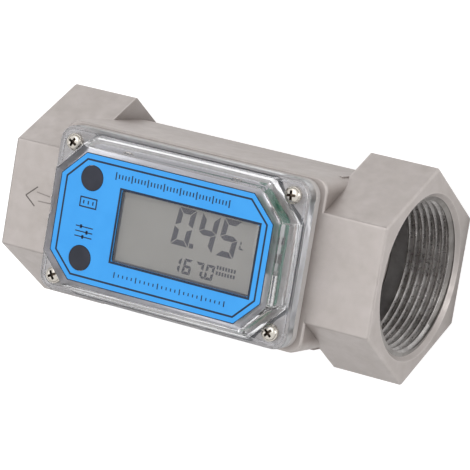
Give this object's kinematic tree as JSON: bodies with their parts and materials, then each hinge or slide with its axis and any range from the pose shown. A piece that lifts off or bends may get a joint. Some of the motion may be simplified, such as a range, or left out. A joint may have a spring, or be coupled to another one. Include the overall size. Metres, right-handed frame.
{
  "type": "turbine flow meter",
  "caption": "In-line turbine flow meter: hexagonal threaded ends, helical rotor between vaned supports, and a clear-covered battery readout with display and two keys.",
  "frame": {"origin": "middle of the footprint, on the plane of the two lowest flats of the hexagonal ends", "axes": "+X along the pipe towards the inlet, +Y towards the top of the text on the readout, +Z out of the readout"},
  "size_m": [0.127, 0.065, 0.0697],
  "materials": {
    "body_steel": "cast and bead-blasted",
    "support_plastic": "matt",
    "bearing_ceramic": "ground",
    "spring_steel": "plain",
    "rotor_plastic": "satin",
    "shaft_steel": "ground",
    "magnet": "plated",
    "tray_plastic": "translucent",
    "seal_rubber": "matt",
    "cover_seal_rubber": "matt",
    "clear_cover": "clear",
    "screw_steel": "polished",
    "faceplate": "printed film",
    "board": "solder mask",
    "board_screw_steel": "plain",
    "lcd_glass": "anti-glare",
    "lcd_mask": "printed",
    "lcd_frame": "satin",
    "contact_rubber": "matt",
    "chip_epoxy": "matt",
    "crystal_can": "plain",
    "chip_parts": "satin",
    "switch_case": "matt",
    "key_rubber": "satin",
    "cell_steel": "plain",
    "clip_steel": "plated",
    "bobbin": "matt",
    "copper": "enamelled",
    "core_iron": "plain"
  },
  "bodies": {
    "meter": {"meter_body": "body_steel", "inlet_support": "support_plastic", "outlet_support": "support_plastic", "inlet_bearing": "bearing_ceramic", "outlet_bearing": "bearing_ceramic", "inlet_snap_ring": "spring_steel", "outlet_snap_ring": "spring_steel", "readout_tray": "tray_plastic", "tray_seal": "seal_rubber", "cover_seal": "cover_seal_rubber", "clear_cover": "clear_cover", "cover_screws": "screw_steel", "faceplate_label": "faceplate", "circuit_board": "board", "board_screws": "board_screw_steel", "lcd_panel": "lcd_glass", "lcd_mask": "lcd_mask", "lcd_frame": "lcd_frame", "lcd_contact_strips": "contact_rubber", "microcontroller": "chip_epoxy", "crystal": "crystal_can", "board_parts": "chip_parts", "upper_switch": "switch_case", "lower_switch": "switch_case", "coin_cells": "cell_steel", "cell_clips": "clip_steel", "coil_bobbin": "bobbin", "pickup_coil": "copper", "coil_core": "core_iron"},
    "rotor": {"turbine_rotor": "rotor_plastic", "rotor_shaft": "shaft_steel", "rotor_magnets": "magnet"},
    "upper_key": {"upper_key": "key_rubber"},
    "lower_key": {"lower_key": "key_rubber"}
  },
  "joints": [
    {"name": "rotor_spin", "type": "hinge", "parent": "meter", "child": "rotor", "pos_m": [0, 0, 0.02825], "axis": [1, 0, 0], "continuous": true},
    {"name": "upper_key_press", "type": "slide", "parent": "meter", "child": "upper_key", "axis": [0, 0, -1], "range_m": [0, 0.0006], "stiffness_N_per_m": 400},
    {"name": "lower_key_press", "type": "slide", "parent": "meter", "child": "lower_key", "axis": [0, 0, -1], "range_m": [0, 0.0006], "stiffness_N_per_m": 400}
  ]
}
